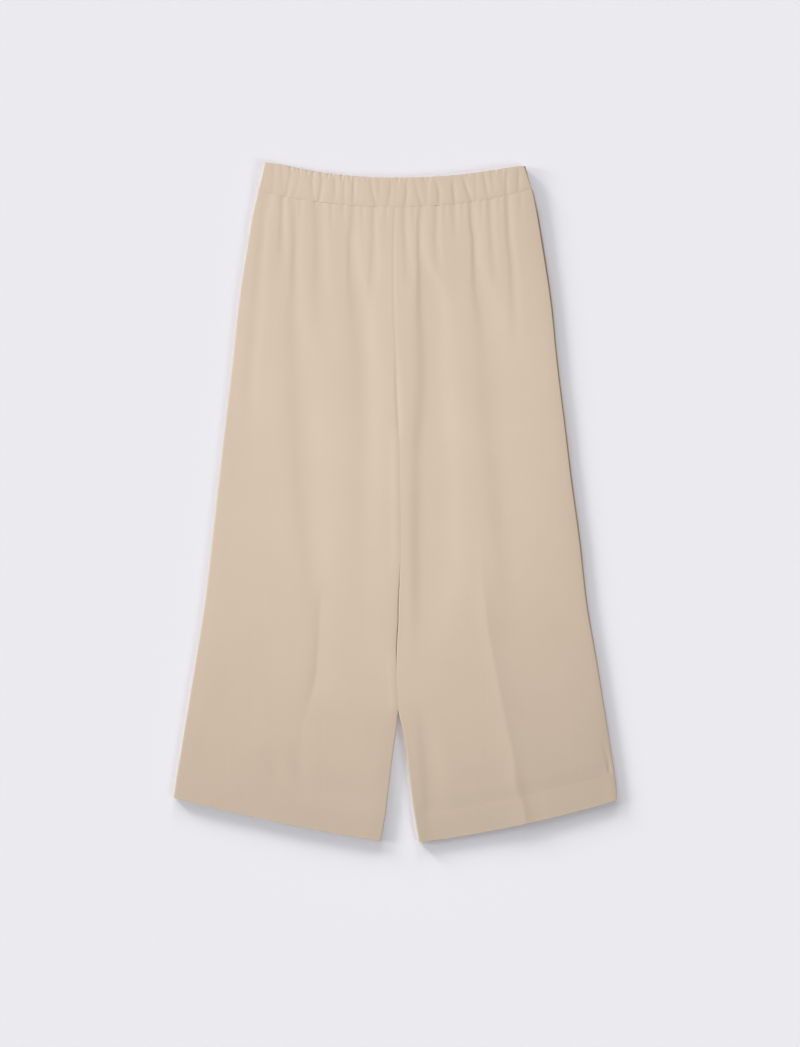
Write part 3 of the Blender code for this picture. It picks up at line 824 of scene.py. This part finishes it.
# Millimetres: X and drop of the top edge.
TOP_EDGE = (
    (-156, 0.2),
    (-150, 0.4),
    (-140, 1.6),
    (-125, 4.7),
    (-110, 8.2),
    (-95, 11.0),
    (-65, 14.8),
    (-35, 17.2),
    (5, 18.1),
    (40, 17.2),
    (70, 15.2),
    (100, 11.5),
    (130, 6.9),
    (145, 4.7),
    (156, 3.7),
)


class Gather(NamedTuple):
    """A crease in the band's face. X and the depth are given at the top edge, half way and at the seam."""

    x: tuple
    depth: tuple
    falling_width: float  # of its side towards -X
    rising_width: float


# Millimetres, from the right side seam to the left one.
GATHERS = (
    Gather((-145.9, -146.2, -147.5), (0.6, 0.5, 0.4), 1.8, 2.6),
    Gather((-136.6, -135.3, -135.8), (0.5, 0.5, 0.2), 1.7, 2.4),
    Gather((-123.2, -127.7, -130.8), (0.4, 0.8, 0.9), 1.7, 2.2),
    Gather((-113.5, -117.2, -122), (0, 0.35, 0.3), 1.6, 2.0),
    Gather((-98.9, -99.6, -96.6), (0.7, 1.0, 0.3), 1.9, 2.6),
    Gather((-86.5, -88.9, -91.7), (0.7, 1.1, 1.3), 1.7, 2.6),
    Gather((-72.9, -72, -74.8), (0.8, 0.9, 0.1), 1.9, 2.6),
    Gather((-60.2, -61.4, -61.4), (0.4, 0.7, 0.3), 1.5, 2.0),
    Gather((-49.3, -49.9, -50.5), (1.0, 1.3, 0.5), 1.6, 2.6),
    Gather((-40.8, -43.3, -45.6), (0.5, 0.3, 0.3), 1.8, 2.4),
    Gather((-29.1, -26.9, -22), (0.7, 1.0, 0.9), 1.6, 2.2),
    Gather((-19, -19, -19), (0.7, 0.5, 0.3), 1.5, 2.2),
    Gather((-5, -5.7, -8.7), (0.3, 0.9, 0.4), 1.7, 2.4),
    Gather((2.9, 1.9, 1.4), (0.6, 0.3, 0), 4.0, 1.6),
    Gather((13.1, 14.3, 11.4), (0.2, 1.2, 0.8), 1.8, 2.6),
    Gather((24.6, 27.1, 32.6), (0.4, 0.8, 0.8), 1.7, 2.2),
    Gather((39.6, 39.1, 38.6), (1.0, 0.8, 0.7), 5.0, 1.4),
    Gather((47.7, 52.6, 52.6), (0.1, 1.3, 0.6), 1.9, 2.6),
    Gather((70.1, 70.7, 72.3), (-0.1, 1.4, 0.9), 1.9, 2.6),
    Gather((82.2, 86.5, 92.5), (0.4, 1.4, 1.0), 1.9, 2.4),
    Gather((97.4, 97.4, 97.4), (0.5, 0.5, 0.6), 1.5, 2.0),
    Gather((107.1, 109.6, 113.1), (0.7, 1.0, 0.3), 1.7, 2.4),
    Gather((116.8, 118, 119.8), (0.9, 0.5, 0.1), 1.5, 2.2),
    Gather((126.5, 129.5, 131.4), (0.5, 0.3, 0), 1.6, 2.2),
    Gather((136.2, 134.3, 134.9), (0.4, 1.0, 0.9), 1.7, 2.2),
    Gather((150.1, 148.9, 148.3), (0.3, 1.0, 0.2), 1.7, 2.4),
)
# The back's gathers are of the same kind, in the opposite order and a little closer together.
BACK_GATHERS = tuple(
    Gather(tuple(4 - 0.97 * x for x in g.x), g.depth, g.rising_width, g.falling_width) for g in GATHERS
)
GATHER_SCALE = 0.52  # the depths in the table times this
GATHER_ROUND = 0.45  # how blunt a gather's bottom is, as a share of its width
GATHER_STEEPNESS = 0.9
GATHER_POWER = 1.3
GATHER_FADE = 2.8  # radians round the fold along the top edge over which the gathers fade


def through_three(values, t):
    """A smooth line through the values at t = 0, 0.5 and 1."""
    first, middle, last = values
    return first + (last - first) * t + (4 * middle - 2 * first - 2 * last) * t * (1 - t)


def gather_depth(gathers, x_share, height):
    """How deep the gathers cut into the face, at a share of the width and a height from 0 to 1."""
    x = x_share * mix(BAND_SEAM_HALF, BAND_TOP_HALF, height)
    depth = np.zeros_like(x)
    for gather in gathers:
        away = x - through_three(gather.x, 1 - height) * MM
        width = np.where(away < 0, gather.falling_width, gather.rising_width) * MM
        blunt = np.hypot(away / width, GATHER_ROUND) - GATHER_ROUND
        full = np.maximum(through_three(gather.depth, 1 - height), 0) * MM
        depth += GATHER_SCALE * full * np.exp(-GATHER_STEEPNESS * blunt**GATHER_POWER)
    return depth


# Millimetres: X of the short nicks in the front's top edge, where the fold is pinched, and their depths.
NICKS = (
    (-126, 1.0),
    (-119, 0.6),
    (-115, 0.9),
    (-105, 0.7),
    (-98, 0.7),
    (-89, 0.9),
    (-80.5, 1.0),
    (-76, 0.6),
    (-64, 1.1),
    (-54, 0.9),
    (-34, 0.5),
    (4.5, 0.7),
    (9.5, 0.6),
    (16, 0.6),
    (35, 0.5),
    (42, 0.7),
    (88, 0.6),
    (121, 0.6),
    (130, 0.7),
)
NICK_WIDTH = 1.5 * MM
NICK_SINK = 0.6  # how far a nick also sinks the face, as a share of its depth


def nick_depth(x):
    return sum(depth * MM * np.exp(-(((x - place * MM) / NICK_WIDTH) ** 4)) for place, depth in NICKS)


class BandEnd(NamedTuple):
    """How the band's front or back rounds over to its side seam."""

    inset: float  # at the top edge; none at the seam
    width: float
    sink: float  # how much flatter the band is there


BAND_ENDS = {
    "front": (BandEnd(0.0, 0.8 * MM, 0.0), BandEnd(1.0 * MM, 0.8 * MM, 1.3 * MM)),
    "back": (BandEnd(0.0, BAND_MIDDLE, 0.0), BandEnd(0.0, BAND_MIDDLE, 0.0)),
}
SINK_REACH = 11 * MM  # over which the band flattens towards an end
# Rows of the section: round the lower edge, up the face, and over the fold at the top edge. The rest go
# down the inner face.
EDGE_ROWS, FACE_ROWS, FOLD_ROWS = 5, 24, 9
END_COLUMNS = 10  # round each end
FACE_SINK = 1.3 * MM  # how far the face falls back towards the seam
FACE_SINK_REACH = 0.16  # share of the face's height
NEEDLE_SINK = 0.08 * MM
NEEDLE_REACH = 0.1  # share of the face's height
NICK_FROM = 0.8  # share of the face's height above which the nicks sink it
INNER_HEM = 2.4 * MM  # how far above the seam the inner face ends
TOP_PULL = 0.35  # how far a gather draws the top edge down, as a share of its depth
BACK_TOP_RISE = 0.3 * MM  # how far the back's top edge shows above the front's
BACK_TOP_END = 146 * MM  # X where that ends
BACK_TOP_BLEND = 14 * MM


def band_shape(side, across_grid, down_grid, columns, rows):
    """X, drop, height and thickness share for the points of the band's front or back."""
    front = side == "front"
    column, row = across_grid * columns, (1 - down_grid) * rows
    first_turn = np.pi / 2 * np.clip(column / END_COLUMNS, 0, 1)
    last_turn = np.pi / 2 * np.clip((columns - column) / END_COLUMNS, 0, 1)
    x_share = 2 * np.clip((column - END_COLUMNS) / (columns - 2 * END_COLUMNS), 0, 1) - 1
    seam_turn = np.pi / 2 * np.clip(row / EDGE_ROWS, 0, 1)
    up = np.clip((row - EDGE_ROWS) / FACE_ROWS, 0, 1)
    fold_turn = np.pi * np.clip((row - EDGE_ROWS - FACE_ROWS) / FOLD_ROWS, 0, 1)
    inner_row = EDGE_ROWS + FACE_ROWS + FOLD_ROWS
    inner_down = np.clip((row - inner_row) / (rows - inner_row), 0, 1)
    inset = BAND_SEAM_ROUND * (1 - np.sin(seam_turn)) + BAND_FOLD_ROUND * (1 - np.cos(fold_turn))
    inset = inset + FACE_SINK * np.exp(-up / FACE_SINK_REACH) * (1 - inner_down)
    gathers = GATHERS if front else BACK_GATHERS
    showing = (0.5 + 0.5 * np.sin(seam_turn)) * (1 - smooth(fold_turn / GATHER_FADE))
    needle = NEEDLE_SINK * np.cos(2 * np.pi * x_share * BAND_SEAM_HALF / NEEDLE_PITCH)
    needle = needle * np.exp(-up / NEEDLE_REACH)
    radius = BAND_MIDDLE - inset - showing * (gather_depth(gathers, x_share, up) + needle)
    half = mix(BAND_SEAM_HALF, BAND_TOP_HALF, up)
    if front:
        near_top = smooth((up - NICK_FROM) / (1 - NICK_FROM))
        radius -= NICK_SINK * nick_depth(x_share * half) * showing * near_top
    right_end, left_end = BAND_ENDS[side]
    radius -= left_end.sink * np.exp(-(1 - x_share) * half / SINK_REACH)
    right_x = -half + right_end.inset * up**2 + right_end.width
    left_x = half - left_end.inset * up**2 - left_end.width
    x = mix(right_x, left_x, (x_share + 1) / 2)
    x = x - (radius / BAND_MIDDLE) * right_end.width * np.cos(first_turn)
    x = x + (radius / BAND_MIDDLE) * left_end.width * np.cos(last_turn)
    rise = radius * np.sin(first_turn) * np.sin(last_turn) + BAND_SLACK
    height = BAND_MIDDLE + (1 if front else -1) * rise
    top = curve(TOP_EDGE, 1, x) + TOP_PULL * gather_depth(gathers, x_share, np.ones_like(x))
    if front:
        top = top + nick_depth(x)
    else:
        top = top - BACK_TOP_RISE * smooth((BACK_TOP_END - np.abs(x)) / BACK_TOP_BLEND)
    seam = band_seam_drop(x)
    face_drop = mix(seam - BAND_SEAM_ROUND, top + BAND_FOLD_REACH, up)
    drop = face_drop + BAND_SEAM_ROUND * np.cos(seam_turn) - BAND_FOLD_REACH * np.sin(fold_turn)
    drop = mix(drop, seam - INNER_HEM, inner_down)
    return x, drop, height, np.ones_like(x)


band_crepe = crepe_finish("band_crepe", CREPE_DARK, CREPE_LIGHT)
bands = {}
for side in ("back", "front"):
    bands[side] = lay_cloth(
        f"waistband_{side}_strip",
        BAND_COLUMNS,
        BAND_ROWS,
        False,
        side == "back",
        partial(band_shape, side),
    )
    bands[side].data.materials.append(band_crepe)
    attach(bands[side], "root")
    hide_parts(f"waistband_{side}")


# --------------------------------------------------------------------------- floor, light, camera
# A plain pale floor under a soft, even light from all round. A raking soft box beyond the right hip models
# the folds, and smaller ones brighten the waist, the legs and the floor between the legs. Broad, low lights
# round the same corner draw the floor's soft shadow, which one overhead and one opposite soften.

FLOOR_SIZE = 40.0
FLOOR_LEVEL = -0.5 * MM
FLOOR_COLOUR = (0.831, 0.823, 0.863, 1)
ROOM_LIGHT = 0.30

bpy.ops.mesh.primitive_plane_add(size=FLOOR_SIZE, location=(0, 0, FLOOR_LEVEL))
floor = bpy.context.object
floor.name = "floor"
floor_finish = Finish(
    "pale_floor", {"Base Color": FLOOR_COLOUR, "Roughness": 0.9, "Specular IOR Level": 0.0}
)
floor.data.materials.append(floor_finish.material)

world = bpy.data.worlds.new("studio")
world.use_nodes = True
world.node_tree.nodes["Background"].inputs["Color"].default_value = (1, 1, 1, 1)
world.node_tree.nodes["Background"].inputs["Strength"].default_value = ROOM_LIGHT
bpy.context.scene.world = world

cloth_lit = bpy.data.collections.new("cloth_lit")
floor_lit = bpy.data.collections.new("floor_lit")
for piece in (*fronts.values(), *backs.values(), *bands.values()):
    cloth_lit.objects.link(piece)
floor_lit.objects.link(floor)


def hang_light(light, place, aim, lit):
    """Hang a light at a place, aimed at a point, so that it lights only the objects of one collection."""
    lamp = bpy.data.objects.new(light.name, light)
    lamp.location = place
    lamp.rotation_euler = (Vector(aim) - Vector(place)).to_track_quat("-Z", "Y").to_euler()
    lamp.light_linking.receiver_collection = lit
    bpy.context.scene.collection.objects.link(lamp)


def add_box(name, place, aim, size, watts, lit):
    """A round soft box, with its size in metres."""
    light = bpy.data.lights.new(name, "AREA")
    light.shape = "DISK"
    light.size = size
    light.energy = watts
    hang_light(light, place, aim, lit)


def add_floor_light(name, direction, spread, strength):
    """A far, broad light for the floor's shadow, from a direction, with its spread in degrees."""
    light = bpy.data.lights.new(name, "SUN")
    light.angle = math.radians(spread)
    light.energy = strength
    hang_light(light, direction, (0, 0, 0), floor_lit)


add_box("soft_box", (-4.5, 2.1, 3.2), (0, 0, 0), size=1.9, watts=262, lit=cloth_lit)
add_box("waist_box", (0, 0.2, 0.85), (0, 0.2, 0), size=0.5, watts=2.33, lit=cloth_lit)
add_box("leg_box", (-0.02, -0.15, 0.35), (-0.02, -0.15, 0), size=0.2, watts=0.07, lit=cloth_lit)
add_box("opening_box", (0.005, -0.268, 0.12), (0.005, -0.268, 0), size=0.03, watts=0.0125, lit=floor_lit)
add_floor_light("overhead", (0, 0, 3), spread=20, strength=0.234)
add_floor_light("middle_light", (-1.0, 2.2, 0.69), spread=16, strength=1.03)
add_floor_light("low_corner_light", (-1.7, 1.7, 0.37), spread=11, strength=3.92)
add_floor_light("low_left_light", (-2.37, 0.33, 0.527), spread=14, strength=1.9)
add_floor_light("low_top_light", (0.25, 2.38, 0.527), spread=14, strength=1.24)
add_floor_light("far_light", (2.05, -1.15, 1.5), spread=24, strength=0.78)

CAMERA_HEIGHT = 4.0  # it looks straight down
VIEW_LONG_SIDE = 1.2564  # metres of the floor along the long side of the view
VIEW_MIDDLE = (5.7 * MM, -25.2 * MM)
SENSOR = 36  # the same side of the camera's sensor, in millimetres
camera = bpy.data.cameras.new("camera")
camera.lens = SENSOR * CAMERA_HEIGHT / VIEW_LONG_SIDE
camera.sensor_width = SENSOR
view_point = bpy.data.objects.new("camera", camera)
view_point.location = (*VIEW_MIDDLE, CAMERA_HEIGHT)
bpy.context.scene.collection.objects.link(view_point)
bpy.context.scene.camera = view_point
bpy.context.scene.view_settings.view_transform = "Standard"
